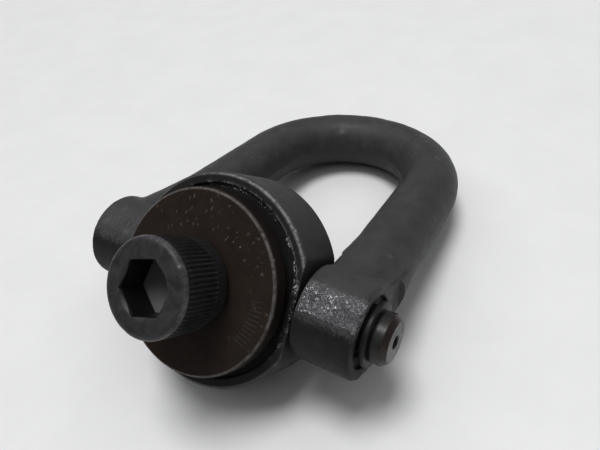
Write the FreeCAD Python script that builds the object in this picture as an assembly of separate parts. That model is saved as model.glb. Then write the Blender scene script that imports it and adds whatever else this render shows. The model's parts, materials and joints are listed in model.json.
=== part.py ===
"""Swivel hoist ring: a socket head bolt clamps a bushing and a load washer to the load, a forged body
turns freely on the bushing, and a forged bail pivots on two load pins in the body.

Frame, in millimetres: +Z is the bolt's axis, towards its head. X is the load pins' axis. The origin is on
the bolt's axis, in the plane of the bushing's lower face, which bears on the load.
"""

import FreeCAD, Part
import math
import os

from FreeCAD import Vector

# Mounting bolt, 5/8-11 UNC with a socket head.
THREAD_R = 7.9
THREAD_PROJECTION = 16.0
THREAD_END_CHAMFER = 1.0
HEAD_R = 11.9
HEAD_HEIGHT = 15.9
HEAD_EDGE_ROUND = 1.2
SOCKET_ACROSS_FLATS = 12.8
SOCKET_DEPTH = 8.0
SOCKET_MOUTH_CHAMFER = 0.6
SOCKET_TURN_DEG = 17.4
SOCKET_POINT_DEPTH = 2.0

# Stack of the clamped pieces, from the load upwards.
FLANGE_THICKNESS = 5.3
BODY_THICKNESS = 17.7
TOP_GAP = 1.7
WASHER_THICKNESS = 5.1
TURNING_CLEARANCE = 0.2
# A loose bolt stands this far off the washer, within the travel that its captive ring allows.
BOLT_LIFT = 1.3

# Bushing and load washer.
CLEARANCE_HOLE_R = 8.3
SLEEVE_R = 12.0
FLANGE_R = 20.0
FLANGE_EDGE = 0.8
WASHER_R = 23.7
WASHER_EDGE = 0.7
COUNTERBORE_R = 10.5
COUNTERBORE_DEPTH = 2.6

# Captive ring in the shank's groove.
CAPTIVE_GROOVE_R = 7.2
CAPTIVE_GROOVE_WIDTH = 2.5
CAPTIVE_RING_R = 9.5
CAPTIVE_RING_THICKNESS = 1.0
CAPTIVE_RING_GAP = 3.0

# Swivel body.
BODY_R = 28.1
BODY_EDGE = 0.9
BODY_HALF_WIDTH = 25.0
RUNNING_CLEARANCE = 0.06

# Load pins, along X, at this height above the load.
PIN_AXIS_Z = 13.4
PIN_R = 6.5
PIN_INNER_X = 13.6
PIN_OUTER_X = 48.2
PIN_END_FACE_R = 5.2
PIN_END_CHAMFER = 1.4
PIN_FIT = 0.03
PIN_CENTRE_HOLE_R = 1.6
PIN_CENTRE_HOLE_DEPTH = 3.2

# Retaining ring outside each eye, in the pin's groove.
RING_INNER_X = 42.4
RING_THICKNESS = 1.4
RING_R = 8.3
RING_GAP = 3.2
RING_GROOVE_R = 5.6
RING_GROOVE_SLACK = 0.1
RING_GROOVE_OUTER_SLACK = 0.5

# Slotted spring pin through body and load pin.
ROLL_PIN_X = 19.0
ROLL_PIN_R = 2.0
ROLL_PIN_WALL = 0.8
ROLL_PIN_SLOT = 0.8
ROLL_PIN_FIT = 0.02
ROLL_PIN_INSET = 1.0

# Bail: a round bar bent to a loop, with an eye on each end. It hangs in a plane through the X axis.
BAR_R = 9.5
LEG_X_AT_PIN = 33.7
CROWN_CENTRE = 61.7
LEG_LEAN_DEG = 2.5
EYE_R = 12.4
EYE_INNER_X = 26.5
EYE_OUTER_X = 42.1
EYE_EDGE = 0.7
EYE_COUNTERBORE_R = 9.3
EYE_COUNTERBORE_DEPTH = 1.5
NECK_R = 12.0
NECK_LENGTH = 27.0
OUTER_FACING_R = 17.5
INNER_FACING_R = 16.5
INNER_RELIEF_R = 25.0
INNER_RELIEF_X = 19.0
BAIL_REST_DEG = 148.0

# Heights that follow from the stack.
BODY_BOTTOM = FLANGE_THICKNESS + TURNING_CLEARANCE
BODY_TOP = BODY_BOTTOM + BODY_THICKNESS
WASHER_BOTTOM = BODY_TOP + TOP_GAP
WASHER_TOP = WASHER_BOTTOM + WASHER_THICKNESS
HEAD_BOTTOM = WASHER_TOP + BOLT_LIFT
HEAD_TOP = HEAD_BOTTOM + HEAD_HEIGHT

ORIGIN = Vector(0, 0, 0)
AXIS_X = Vector(1, 0, 0)
AXIS_Z = Vector(0, 0, 1)


def turned(points):
    """A solid turned about Z from an outline of (radius, height) corners."""
    corners = [Vector(radius, 0, height) for radius, height in points]
    outline = Part.Face(Part.makePolygon(corners + corners[:1]))
    return outline.revolve(ORIGIN, AXIS_Z, 360)


def along_x(shape, side):
    """A shape that is turned about Z, laid along X on the pins' axis, its top outwards on that side."""
    shape.rotate(ORIGIN, Vector(0, 1, 0), 90 * side)
    shape.translate(Vector(0, 0, PIN_AXIS_Z))
    return shape


def slotted(ring, gap, reach, bottom, top, turn_deg=0):
    """The ring with a gap cut through it, out along +Y turned about Z."""
    slot = Part.makeBox(gap, reach, top - bottom, Vector(-gap / 2, 0, bottom))
    slot.rotate(ORIGIN, AXIS_Z, turn_deg)
    return ring.cut(slot)


def chamfered_cylinder(radius, bottom, top, edge):
    return turned(
        [
            (0, bottom),
            (radius - edge, bottom),
            (radius, bottom + edge),
            (radius, top - edge),
            (radius - edge, top),
            (0, top),
        ]
    )


def hexagon_prism(across_flats, bottom, top):
    corner_r = across_flats / math.sqrt(3)
    turns = [math.radians(SOCKET_TURN_DEG + 60 * i) for i in range(7)]
    corners = [Vector(corner_r * math.cos(a), corner_r * math.sin(a), bottom) for a in turns]
    return Part.Face(Part.makePolygon(corners)).extrude(Vector(0, 0, top - bottom))


def mounting_bolt():
    head = Part.makeCylinder(HEAD_R, HEAD_HEIGHT, Vector(0, 0, HEAD_BOTTOM))
    top_edges = [
        edge
        for edge in head.Edges
        if isinstance(edge.Curve, Part.Circle) and edge.CenterOfMass.z > HEAD_TOP - 0.01
    ]
    head = head.makeFillet(HEAD_EDGE_ROUND, top_edges)
    shank = turned(
        [
            (0, -THREAD_PROJECTION),
            (THREAD_R - THREAD_END_CHAMFER, -THREAD_PROJECTION),
            (THREAD_R, -THREAD_PROJECTION + THREAD_END_CHAMFER),
            (THREAD_R, 0),
            (CAPTIVE_GROOVE_R, 0),
            (CAPTIVE_GROOVE_R, CAPTIVE_GROOVE_WIDTH),
            (THREAD_R, CAPTIVE_GROOVE_WIDTH),
            (THREAD_R, HEAD_BOTTOM),
            (0, HEAD_BOTTOM),
        ]
    )
    socket_bottom = HEAD_TOP - SOCKET_DEPTH
    socket = hexagon_prism(SOCKET_ACROSS_FLATS, socket_bottom, HEAD_TOP + 1)
    flat_r = SOCKET_ACROSS_FLATS / 2
    corner_r = SOCKET_ACROSS_FLATS / math.sqrt(3)
    point = Part.makeCone(0, flat_r, SOCKET_POINT_DEPTH, Vector(0, 0, socket_bottom - SOCKET_POINT_DEPTH))
    mouth_r = corner_r + SOCKET_MOUTH_CHAMFER
    mouth = Part.makeCone(
        corner_r - SOCKET_MOUTH_CHAMFER,
        mouth_r,
        2 * SOCKET_MOUTH_CHAMFER,
        Vector(0, 0, HEAD_TOP - 2 * SOCKET_MOUTH_CHAMFER),
    )
    return head.fuse(shank).cut(socket).cut(point).cut(mouth).removeSplitter()


def bolt_captive_ring():
    bottom = (CAPTIVE_GROOVE_WIDTH - CAPTIVE_RING_THICKNESS) / 2
    top = bottom + CAPTIVE_RING_THICKNESS
    inner = CAPTIVE_GROOVE_R + 0.05
    ring = turned([(inner, bottom), (CAPTIVE_RING_R, bottom), (CAPTIVE_RING_R, top), (inner, top)])
    return slotted(ring, CAPTIVE_RING_GAP, CAPTIVE_RING_R + 1, bottom, top)


def flange_bushing():
    return turned(
        [
            (COUNTERBORE_R, 0),
            (FLANGE_R - FLANGE_EDGE, 0),
            (FLANGE_R, FLANGE_EDGE),
            (FLANGE_R, FLANGE_THICKNESS),
            (SLEEVE_R, FLANGE_THICKNESS),
            (SLEEVE_R, WASHER_BOTTOM),
            (CLEARANCE_HOLE_R, WASHER_BOTTOM),
            (CLEARANCE_HOLE_R, COUNTERBORE_DEPTH),
            (COUNTERBORE_R, COUNTERBORE_DEPTH),
        ]
    )


def load_washer():
    return turned(
        [
            (CLEARANCE_HOLE_R, WASHER_BOTTOM),
            (WASHER_R - WASHER_EDGE, WASHER_BOTTOM),
            (WASHER_R, WASHER_BOTTOM + WASHER_EDGE),
            (WASHER_R, WASHER_TOP - WASHER_EDGE),
            (WASHER_R - WASHER_EDGE, WASHER_TOP),
            (CLEARANCE_HOLE_R, WASHER_TOP),
        ]
    )


def swivel_body():
    body = chamfered_cylinder(BODY_R, BODY_BOTTOM, BODY_TOP, BODY_EDGE)
    between_flats = Part.makeBox(
        2 * BODY_HALF_WIDTH,
        2 * BODY_R,
        BODY_THICKNESS,
        Vector(-BODY_HALF_WIDTH, -BODY_R, BODY_BOTTOM),
    )
    body = body.common(between_flats)
    bore_r = SLEEVE_R + RUNNING_CLEARANCE
    bore = Part.makeCylinder(bore_r, BODY_THICKNESS, Vector(0, 0, BODY_BOTTOM))
    cross_bore = Part.makeCylinder(PIN_R + PIN_FIT, 2 * BODY_R, Vector(-BODY_R, 0, PIN_AXIS_Z), AXIS_X)
    body = body.cut(bore).cut(cross_bore)
    for side in (-1, 1):
        hole = Part.makeCylinder(ROLL_PIN_R, BODY_THICKNESS, Vector(side * ROLL_PIN_X, 0, BODY_BOTTOM))
        body = body.cut(hole)
    return body


def load_pin(side):
    groove_inner = RING_INNER_X - RING_GROOVE_SLACK
    groove_outer = RING_INNER_X + RING_THICKNESS + RING_GROOVE_OUTER_SLACK
    pin = turned(
        [
            (0, PIN_INNER_X),
            (PIN_R, PIN_INNER_X),
            (PIN_R, groove_inner),
            (RING_GROOVE_R, groove_inner),
            (RING_GROOVE_R, groove_outer),
            (PIN_R, groove_outer),
            (PIN_R, PIN_OUTER_X - PIN_END_CHAMFER),
            (PIN_END_FACE_R, PIN_OUTER_X),
            (PIN_CENTRE_HOLE_R, PIN_OUTER_X),
            (PIN_CENTRE_HOLE_R, PIN_OUTER_X - PIN_CENTRE_HOLE_DEPTH),
            (0, PIN_OUTER_X - PIN_CENTRE_HOLE_DEPTH),
        ]
    )
    pin = along_x(pin, side)
    hole = Part.makeCylinder(ROLL_PIN_R, 4 * PIN_R, Vector(side * ROLL_PIN_X, 0, PIN_AXIS_Z - 2 * PIN_R))
    return pin.cut(hole)


def pin_retaining_ring(side):
    """A split ring, its gap towards the load."""
    inner = RING_GROOVE_R + 0.05
    outer_x = RING_INNER_X + RING_THICKNESS
    ring = turned([(inner, RING_INNER_X), (RING_R, RING_INNER_X), (RING_R, outer_x), (inner, outer_x)])
    return along_x(slotted(ring, RING_GAP, RING_R + 1, RING_INNER_X, outer_x, -90 * side), side)


def roll_pin(side):
    bottom = BODY_BOTTOM + ROLL_PIN_INSET
    top = BODY_TOP - ROLL_PIN_INSET
    outer = ROLL_PIN_R - ROLL_PIN_FIT
    inner = outer - ROLL_PIN_WALL
    tube = turned([(inner, bottom), (outer, bottom), (outer, top), (inner, top)])
    tube = slotted(tube, ROLL_PIN_SLOT, outer + 1, bottom, top)
    tube.translate(Vector(side * ROLL_PIN_X, 0, 0))
    return tube


def bail_bar():
    """The bent bar, in the XY plane with its legs along +Y: two legs that lean inwards, and a crown."""
    lean = math.radians(LEG_LEAN_DEG)
    crown_r = LEG_X_AT_PIN * math.cos(lean) - CROWN_CENTRE * math.sin(lean)
    leg_length = CROWN_CENTRE * math.cos(lean) + LEG_X_AT_PIN * math.sin(lean)
    crown_sweep = 180 - 2 * LEG_LEAN_DEG
    crown = Part.makeTorus(crown_r, BAR_R, Vector(0, CROWN_CENTRE, 0), AXIS_Z, -180, 180, crown_sweep)
    crown.rotate(Vector(0, CROWN_CENTRE, 0), AXIS_Z, LEG_LEAN_DEG)
    bar = crown
    for side in (-1, 1):
        foot = Vector(side * LEG_X_AT_PIN, 0, 0)
        direction = Vector(-side * math.sin(lean), math.cos(lean), 0)
        bar = bar.fuse(Part.makeCylinder(BAR_R, leg_length, foot, direction))
        bar = bar.fuse(Part.makeCone(NECK_R, BAR_R, NECK_LENGTH, foot, direction))
    return bar


def eye_cuts(side):
    """What is machined off one eye: its outer face, its inner face, and the pin's bore and counterbore."""
    far = EYE_OUTER_X + BAR_R
    outer_face = turned([(0, EYE_OUTER_X), (OUTER_FACING_R, EYE_OUTER_X), (OUTER_FACING_R, far), (0, far)])
    inner_face = turned(
        [
            (0, 0),
            (INNER_RELIEF_R, 0),
            (INNER_RELIEF_R, INNER_RELIEF_X),
            (INNER_FACING_R, EYE_INNER_X),
            (0, EYE_INNER_X),
        ]
    )
    seat_x = EYE_OUTER_X - EYE_COUNTERBORE_DEPTH
    bore_r = PIN_R + RUNNING_CLEARANCE
    bore = turned(
        [
            (0, 0),
            (bore_r, 0),
            (bore_r, seat_x),
            (EYE_COUNTERBORE_R, seat_x),
            (EYE_COUNTERBORE_R, far),
            (0, far),
        ]
    )
    return [along_x(cut, side) for cut in (outer_face, inner_face, bore)]


def forged_bail():
    bail = bail_bar()
    bail.rotate(ORIGIN, AXIS_X, 90 + BAIL_REST_DEG)
    bail.translate(Vector(0, 0, PIN_AXIS_Z))
    for side in (-1, 1):
        bail = bail.fuse(along_x(chamfered_cylinder(EYE_R, EYE_INNER_X, EYE_OUTER_X, EYE_EDGE), side))
    for side in (-1, 1):
        for cut in eye_cuts(side):
            bail = bail.cut(cut)
    return bail.removeSplitter()


NODES = {
    "mounting_bolt": mounting_bolt(),
    "bolt_captive_ring": bolt_captive_ring(),
    "flange_bushing": flange_bushing(),
    "load_washer": load_washer(),
    "swivel_body": swivel_body(),
    "load_pin_left": load_pin(-1),
    "load_pin_right": load_pin(1),
    "pin_retaining_ring_left": pin_retaining_ring(-1),
    "pin_retaining_ring_right": pin_retaining_ring(1),
    "roll_pin_left": roll_pin(-1),
    "roll_pin_right": roll_pin(1),
    "forged_bail": forged_bail(),
}

os.makedirs("parts", exist_ok=True)
for name, shape in NODES.items():
    if len(shape.Solids) != 1 or not shape.isValid():
        raise SystemExit(f"{name} isn't one valid solid")
    shape.exportStep(f"parts/{name}.step")
    print(f"{name}: {shape.Volume / 1000:.2f} cm3")
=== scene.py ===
"""Looks of the swivel hoist ring, built round its CAD frame.

The frame is the CAD's: +Z is the bolt's axis towards its head, X the load pins' axis, and the origin is in
the bushing's lower face. Shapes are worked out in millimetres and become metres when a mesh is made.
"""

import json
import math
import random

import bmesh
import bpy
import numpy as np
from mathutils import Matrix, Vector, noise


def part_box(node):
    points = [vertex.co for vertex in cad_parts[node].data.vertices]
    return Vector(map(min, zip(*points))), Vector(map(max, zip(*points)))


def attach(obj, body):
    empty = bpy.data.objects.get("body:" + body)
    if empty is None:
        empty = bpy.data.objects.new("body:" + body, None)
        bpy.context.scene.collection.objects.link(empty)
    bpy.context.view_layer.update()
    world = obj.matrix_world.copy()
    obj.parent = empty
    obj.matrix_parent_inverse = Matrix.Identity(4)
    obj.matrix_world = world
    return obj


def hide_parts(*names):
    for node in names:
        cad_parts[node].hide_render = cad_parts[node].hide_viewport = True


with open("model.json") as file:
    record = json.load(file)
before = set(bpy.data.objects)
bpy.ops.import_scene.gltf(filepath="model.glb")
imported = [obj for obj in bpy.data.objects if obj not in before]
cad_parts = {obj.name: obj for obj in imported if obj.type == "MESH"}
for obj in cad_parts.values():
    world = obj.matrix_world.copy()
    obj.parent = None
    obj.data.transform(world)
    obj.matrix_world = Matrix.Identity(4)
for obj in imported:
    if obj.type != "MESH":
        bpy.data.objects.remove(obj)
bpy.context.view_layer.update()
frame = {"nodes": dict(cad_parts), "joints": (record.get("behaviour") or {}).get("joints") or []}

MM = 0.001
FULL_TURN = 2 * math.pi
SIDES = (("left", -1), ("right", 1))


def box_mm(node):
    low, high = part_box(node)
    return low / MM, high / MM


# Heights and radii that the CAD gives.
BOLT_LOW, BOLT_HIGH = box_mm("mounting_bolt")
WASHER_LOW, WASHER_HIGH = box_mm("load_washer")
BODY_LOW, BODY_HIGH = box_mm("swivel_body")
_, BUSHING_HIGH = box_mm("flange_bushing")
PIN_LOW, PIN_HIGH = box_mm("load_pin_right")
RING_LOW, RING_HIGH = box_mm("pin_retaining_ring_right")
ROLL_PIN_LOW, ROLL_PIN_HIGH = box_mm("roll_pin_right")
CAPTIVE_LOW, CAPTIVE_HIGH = box_mm("bolt_captive_ring")
PIN_AXIS_Z = next(j["pos_m"][2] for j in frame["joints"] if j["name"] == "bail_pivot") / MM

# Mounting bolt.
HEAD_R = BOLT_HIGH.x
HEAD_TOP = BOLT_HIGH.z
HEAD_HEIGHT = 15.9
HEAD_BOTTOM = HEAD_TOP - HEAD_HEIGHT
RIM_ROUND = 1.5
KNURL_TEETH = 66
COLUMNS_PER_TOOTH = 8
KNURL_DEPTH = 0.5
KNURL_BOTTOM = HEAD_BOTTOM + 3.6
KNURL_TOP = HEAD_TOP - 2.0
BAND_R = HEAD_R - 0.4
SOCKET_ACROSS_FLATS = 12.8
SOCKET_DEPTH = 8.0
SOCKET_POINT_DEPTH = 2.0
SOCKET_MOUTH_R = 7.0
SOCKET_TURN = math.radians(17.4)
THREAD_R = 7.9
THREAD_PITCH = 25.4 / 11
THREAD_DEPTH = 1.42
THREAD_CREST = 0.125
THREAD_FLANK = 0.625
GROOVE_R = 7.2
GROOVE_TOP = 2.5

# Pieces turned about the bolt.
CLEARANCE_HOLE_R = 8.3
SLEEVE_R = 12.0
BODY_BORE_R = 12.06
BODY_R = BODY_HIGH.y
FLANGE_R = BUSHING_HIGH.x
FLANGE_TOP = 5.3
RECESS_R = 25.2
RECESS_DEPTH = 0.9
RECESS_CHIPS = 130
# The side of the body, about the bolt, struck and rubbed most and lit: its bare metal is partly a painted
# highlight.
WORN_AND_LIT_SIDE = math.radians(225)
COUNTERBORE_R = 10.5
COUNTERBORE_DEPTH = 2.6

# Tally strokes and small pits on the load washer.
TALLY_STROKES = 11
TALLY_FIRST_DEG = 151
TALLY_SPACING_DEG = 3.4
TALLY_R = 19.3
TALLY_HALF_LENGTH = 1.75
TALLY_LEAN = 0.15
TALLY_HALF_WIDTH = 0.13
TALLY_DEPTH = 0.12
WASHER_PITS = 70

# Load pins and their rings.
PIN_R = 6.5
PIN_GROOVE_R = 5.6
PIN_CENTRE_HOLE_R = 1.6

# Forged bail, in its own plane: X across, and S from the pins' axis towards the crown.
BAR_R = 9.36
NECK_R = 11.9
NECK_LENGTH = 27.0
LEG_X_AT_PIN = 33.7
CROWN_CENTRE = 61.7
LEG_LEAN = math.radians(2.5)
BAIL_REST = math.radians(148.0)
EYE_R = 12.3
EYE_INNER_X = 26.5
EYE_OUTER_X = 42.05
GROUND_FLAT_ANGLE = math.radians(119)
GROUND_FLAT_DISTANCE = 12.0
EYE_COUNTERBORE_R = 9.3
EYE_COUNTERBORE_DEPTH = 1.5
BAR_MIDDLE_R = 30.9
FORGING_VOXEL = 0.55
FORGING_SMOOTHING = 7
FORGING_DENTS = 70


# Meshes.


def finish_mesh(mesh, crease_deg):
    mesh.polygons.foreach_set("use_smooth", [True] * len(mesh.polygons))
    mesh.set_sharp_from_angle(angle=math.radians(crease_deg))
    mesh.update()


def piece_from_bmesh(name, bm, crease_deg=32):
    bmesh.ops.recalc_face_normals(bm, faces=bm.faces)
    mesh = bpy.data.meshes.new(name)
    bm.to_mesh(mesh)
    bm.free()
    finish_mesh(mesh, crease_deg)
    piece = bpy.data.objects.new(name, mesh)
    bpy.context.scene.collection.objects.link(piece)
    return piece


def grid_bmesh(grid, wear=None, closed_rows=False, closed_columns=True):
    """A mesh over a grid of points in mm, shaped (rows, columns, 3). Points that meet are joined."""
    rows, columns = grid.shape[:2]
    bm = bmesh.new()
    layer = bm.verts.layers.float.new("wear")
    verts = [bm.verts.new(point) for point in (grid * MM).reshape(-1, 3)]
    if wear is not None:
        for vert, value in zip(verts, wear.ravel()):
            vert[layer] = value
    for i in range(rows if closed_rows else rows - 1):
        below, above = i * columns, (i + 1) % rows * columns
        for j in range(columns if closed_columns else columns - 1):
            k = (j + 1) % columns
            bm.faces.new((verts[below + j], verts[below + k], verts[above + k], verts[above + j]))
    if not closed_columns:
        for j in (0, columns - 1):
            bm.faces.new([verts[i * columns + j] for i in range(rows)])
    bmesh.ops.remove_doubles(bm, verts=bm.verts, dist=1e-7)
    return bm


def filleted(corners, steps=4):
    """An outline of (a, b, radius) corners, as points, with each corner rounded by its radius."""
    points = []
    for i, (a, b, radius) in enumerate(corners):
        here = Vector((a, b))
        if radius == 0:
            points.append(here)
            continue
        before = (Vector(corners[i - 1][:2]) - here).normalized()
        after = (Vector(corners[(i + 1) % len(corners)][:2]) - here).normalized()
        half = before.angle(after) / 2
        centre = here + (before + after).normalized() * radius / math.sin(half)
        start = here + before * radius / math.tan(half) - centre
        end = here + after * radius / math.tan(half) - centre
        sweep = math.pi - 2 * half
        for k in range(steps + 1):
            t = k / steps
            arm = start * math.sin((1 - t) * sweep) + end * math.sin(t * sweep)
            points.append(centre + arm / math.sin(sweep))
    return points


def divided(points, step, closed=False):
    """The outline with its long stretches divided, so that no stretch is longer than step."""
    result = []
    ends = points[1:] + points[:1] if closed else points[1:]
    for start, end in zip(points, ends):
        parts = max(1, math.ceil((end - start).length / step))
        result += [start.lerp(end, k / parts) for k in range(parts)]
    return result if closed else result + [points[-1]]


def turned_grid(outline, columns, start=0.0, sweep=FULL_TURN):
    """The grid of an outline of (radius, height) points turned about Z."""
    whole = abs(sweep - FULL_TURN) < 1e-9
    turns = start + np.linspace(0, sweep, columns, endpoint=not whole)
    radii = np.array([p[0] for p in outline])[:, None]
    heights = np.array([p[1] for p in outline])[:, None]
    return np.stack([radii * np.cos(turns), radii * np.sin(turns), heights + 0 * turns], 2)


def turned_piece(name, corners, columns, closed=True, step=50.0, crease_deg=32):
    outline = divided(filleted(corners), step, closed)
    return piece_from_bmesh(name, grid_bmesh(turned_grid(outline, columns), closed_rows=closed), crease_deg)


def split_ring(name, corners, columns, middle_of_gap, gap, radius):
    """A turned ring with a gap of that width in it."""
    half_gap = math.asin(gap / 2 / radius)
    outline = filleted(corners, 3)
    grid = turned_grid(outline, columns, middle_of_gap + half_gap, FULL_TURN - 2 * half_gap)
    return piece_from_bmesh(name, grid_bmesh(grid, closed_rows=True, closed_columns=False), 40)


def lay_along_x(piece, side):
    """Turns a piece that was made about Z to lie on the pins' axis, its top outwards on that side."""
    piece.data.transform(Matrix.Rotation(side * math.pi / 2, 4, "Y"))
    piece.data.transform(Matrix.Translation((0, 0, PIN_AXIS_Z * MM)))


def evaluated(piece):
    """Applies the piece's modifiers."""
    graph = bpy.context.evaluated_depsgraph_get()
    mesh = bpy.data.meshes.new_from_object(piece.evaluated_get(graph), depsgraph=graph)
    piece.modifiers.clear()
    piece.data = mesh


def cut_away(piece, cutter):
    modifier = piece.modifiers.new("cut", "BOOLEAN")
    modifier.operation = "DIFFERENCE"
    modifier.solver = "EXACT"
    modifier.object = cutter
    evaluated(piece)
    bpy.data.objects.remove(cutter)


def dent(points, wear, centres, sizes, depths, directions):
    """Pushes points in round each centre, and notes in wear how much bare metal shows there."""
    flat = points.reshape(-1, 3)
    worn = wear.reshape(-1)
    for centre, size, depth, direction in zip(centres, sizes, depths, directions):
        near = np.where(np.abs(flat - centre).max(1) < 2.5 * size)[0]
        share = np.exp(-(np.sum((flat[near] - centre) ** 2, 1)) / size**2)
        flat[near] += np.outer(share * depth, direction)
        worn[near] = np.maximum(worn[near], share)


def rim_dents(rng, count, radius, height, downwards, sizes, depths, limit_x=99.0):
    """Places for dents on a round edge: centres, sizes, depths and inward directions."""
    found = []
    while len(found) < count:
        turn = rng.uniform(0, FULL_TURN)
        if abs(radius * math.cos(turn)) > limit_x:
            continue
        centre = (radius * math.cos(turn), radius * math.sin(turn), height + rng.uniform(-0.25, 0.25))
        inward = Vector((-math.cos(turn), -math.sin(turn), -1 if downwards else 1)).normalized()
        found.append((np.array(centre), rng.uniform(*sizes), rng.uniform(*depths), np.array(inward)))
    return list(zip(*found))


def fbm(point, wavelength, octaves=2):
    return noise.fractal(Vector(point) / wavelength, 1.0, 2.0, octaves)


# Pieces.


def hexagon_radius(turns):
    """The distance from the axis to the socket's wall."""
    sixth = FULL_TURN / 6
    from_middle = (turns - SOCKET_TURN) % sixth - sixth / 2
    return SOCKET_ACROSS_FLATS / 2 / np.cos(from_middle)


def make_bolt_head():
    """Shank and head: knurled side, rounded rim, and a hexagon socket with a drilled bottom."""
    columns = KNURL_TEETH * COLUMNS_PER_TOOTH
    turns = SOCKET_TURN + np.linspace(0, FULL_TURN, columns, endpoint=False)
    hexagon = hexagon_radius(turns)
    rows = []

    def row(radius, height):
        rows.append(np.stack([radius * np.cos(turns), radius * np.sin(turns), height + 0 * turns], 1))

    shank = [
        (0, -1),
        (6.3, -1),
        (GROOVE_R, -0.1),
        (GROOVE_R, GROOVE_TOP),
        (THREAD_R - 0.2, GROOVE_TOP),
        (THREAD_R, GROOVE_TOP + 0.2),
        (THREAD_R, HEAD_BOTTOM),
    ]
    for radius, height in shank:
        row(radius, height)
    for k in range(4):
        lift = math.radians(30 * k)
        row(BAND_R - 0.5 + 0.5 * math.sin(lift), HEAD_BOTTOM + 0.15 + 0.5 * (1 - math.cos(lift)))
    row(BAND_R, KNURL_BOTTOM)
    rng = np.random.default_rng(11)
    tooth = (1 - np.cos(np.linspace(0, FULL_TURN, COLUMNS_PER_TOOTH, endpoint=False))) / 2
    tooth = np.tile(tooth, KNURL_TEETH)
    wobble = (1 - 0.12 * rng.random(KNURL_TEETH)).repeat(COLUMNS_PER_TOOTH)
    groove = HEAD_R - KNURL_DEPTH
    face_r = HEAD_R - 0.12 - RIM_ROUND
    ridge_ends = []
    for height in np.linspace(KNURL_BOTTOM + 0.25, KNURL_TOP, 14):
        fade = min(1, (height - KNURL_BOTTOM) / 0.7, (KNURL_TOP - height) / 0.5)
        ridge_ends.append((len(rows), 0.8 * max(0, 1 - (height - KNURL_BOTTOM) / 1.4)))
        row(groove + (0.4 + 0.6 * fade) * tooth * wobble * KNURL_DEPTH, height)
    for k in range(11):
        lift = math.radians(90 * k / 10)
        row(face_r + RIM_ROUND * math.cos(lift), HEAD_TOP - RIM_ROUND + RIM_ROUND * math.sin(lift))
    mouth = np.maximum(hexagon, SOCKET_MOUTH_R)
    for k in range(1, 5):
        row(face_r + (mouth + 0.16 - face_r) * k / 4, HEAD_TOP)
    row(mouth, HEAD_TOP - 0.12)
    row(hexagon, HEAD_TOP - 0.16 - 0.7 * (mouth - hexagon))
    row(hexagon, HEAD_TOP - SOCKET_DEPTH)
    row(SOCKET_ACROSS_FLATS / 2 - 0.15, HEAD_TOP - SOCKET_DEPTH)
    row(0, HEAD_TOP - SOCKET_DEPTH - SOCKET_POINT_DEPTH)
    points = np.array(rows)
    wear = np.zeros(points.shape[:2])
    for i, amount in ridge_ends:
        wear[i] = amount * tooth * wobble
    dents = rim_dents(random.Random(5), 12, HEAD_R - 0.6, HEAD_TOP - 0.5, True, (0.2, 0.4), (0.03, 0.09))
    dent(points, wear, *dents)
    return piece_from_bmesh("bolt_head", grid_bmesh(points, wear), 38)


def make_bolt_thread():
    """The shank's right-hand thread, with a chamfered end and a run-out below the groove."""
    columns, rows_per_pitch = 96, 14
    bottom, top = BOLT_LOW.z, 0.0
    length = top - bottom + 4 * THREAD_PITCH
    rows = int(length / THREAD_PITCH * rows_per_pitch)
    steps = np.arange(rows)[:, None] / rows_per_pitch
    around = np.arange(columns + 1)[None, :] / columns
    heights = bottom - 2 * THREAD_PITCH + (steps + around) * THREAD_PITCH
    from_crest = np.abs(steps % 1 - 0.5) * THREAD_PITCH + 0 * around
    depth = THREAD_DEPTH * np.clip((from_crest - THREAD_CREST) / THREAD_FLANK, 0, 1)
    depth *= np.clip((top - 1.0 - heights) / 2.0, 0, 1)
    end_chamfer = THREAD_R - THREAD_DEPTH - 0.15 + 1.1 * np.maximum(heights - bottom, 0)
    top_chamfer = THREAD_R - 0.3 + np.maximum(top - heights, 0)
    radii = np.minimum(np.minimum(THREAD_R - depth, end_chamfer), top_chamfer)
    turns = around * FULL_TURN
    bm = bmesh.new()
    verts = {}
    for i in range(rows):
        for j in range(columns):
            x, y = radii[i, j] * math.cos(turns[0, j]), radii[i, j] * math.sin(turns[0, j])
            verts[i, j] = bm.verts.new((x * MM, y * MM, heights[i, j] * MM))
    for i in range(rows - rows_per_pitch - 1):
        for j in range(columns):
            if j + 1 < columns:
                right = (verts[i, j + 1], verts[i + 1, j + 1])
            else:
                right = (verts[i + rows_per_pitch, 0], verts[i + 1 + rows_per_pitch, 0])
            bm.faces.new((verts[i, j], right[0], right[1], verts[i + 1, j]))
    for height, direction in ((bottom, -1), (top, 1)):
        parts = bm.verts[:] + bm.edges[:] + bm.faces[:]
        bmesh.ops.bisect_plane(
            bm, geom=parts, plane_co=(0, 0, height * MM), plane_no=(0, 0, direction), clear_outer=True
        )
    bmesh.ops.delete(bm, geom=[v for v in bm.verts if not v.link_faces], context="VERTS")
    open_edges = [edge for edge in bm.edges if edge.is_boundary]
    bmesh.ops.holes_fill(bm, edges=open_edges, sides=0)
    return piece_from_bmesh("bolt_thread", bm, 30)


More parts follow.
